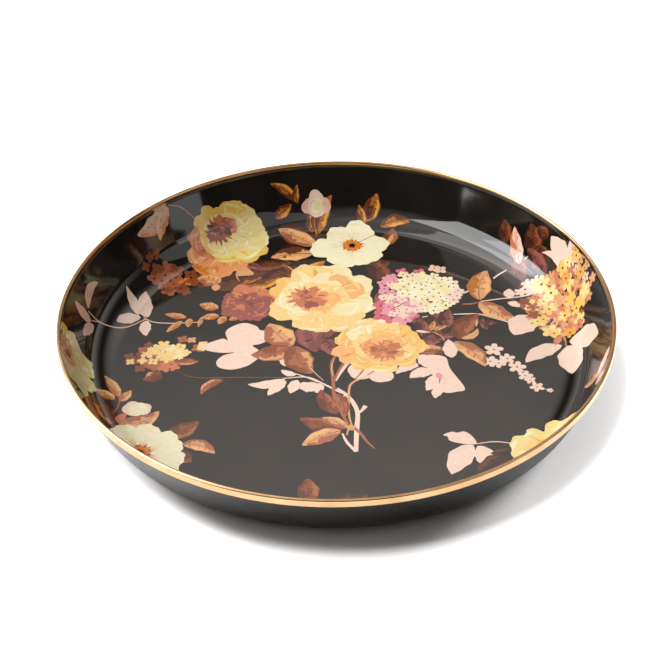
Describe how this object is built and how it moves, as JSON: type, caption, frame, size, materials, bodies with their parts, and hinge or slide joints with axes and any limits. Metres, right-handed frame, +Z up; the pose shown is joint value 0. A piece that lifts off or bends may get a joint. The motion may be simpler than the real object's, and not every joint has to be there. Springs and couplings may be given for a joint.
{
  "type": "painted round tray",
  "caption": "Deep round serving tray: pressed steel dish with flared wall, gloss black lacquer inside with painted flowers, satin black outside and a slim gold-tone rim.",
  "frame": {"origin": "centre of the flat underside, on the surface that the tray stands on", "axes": "+Z up along the tray's axis; X and Y lie in the underside's plane, with the bouquet's stems pointing to -Y"},
  "size_m": [0.3999, 0.4, 0.05],
  "materials": {
    "shell_paint": "satin black",
    "inside_lacquer": "gloss black with painted flowers",
    "rim_metal": "polished gold tone"
  },
  "bodies": {
    "root": {"tray_shell": "shell_paint", "inside_lacquer": "inside_lacquer", "rim_trim": "rim_metal"}
  },
  "joints": []
}
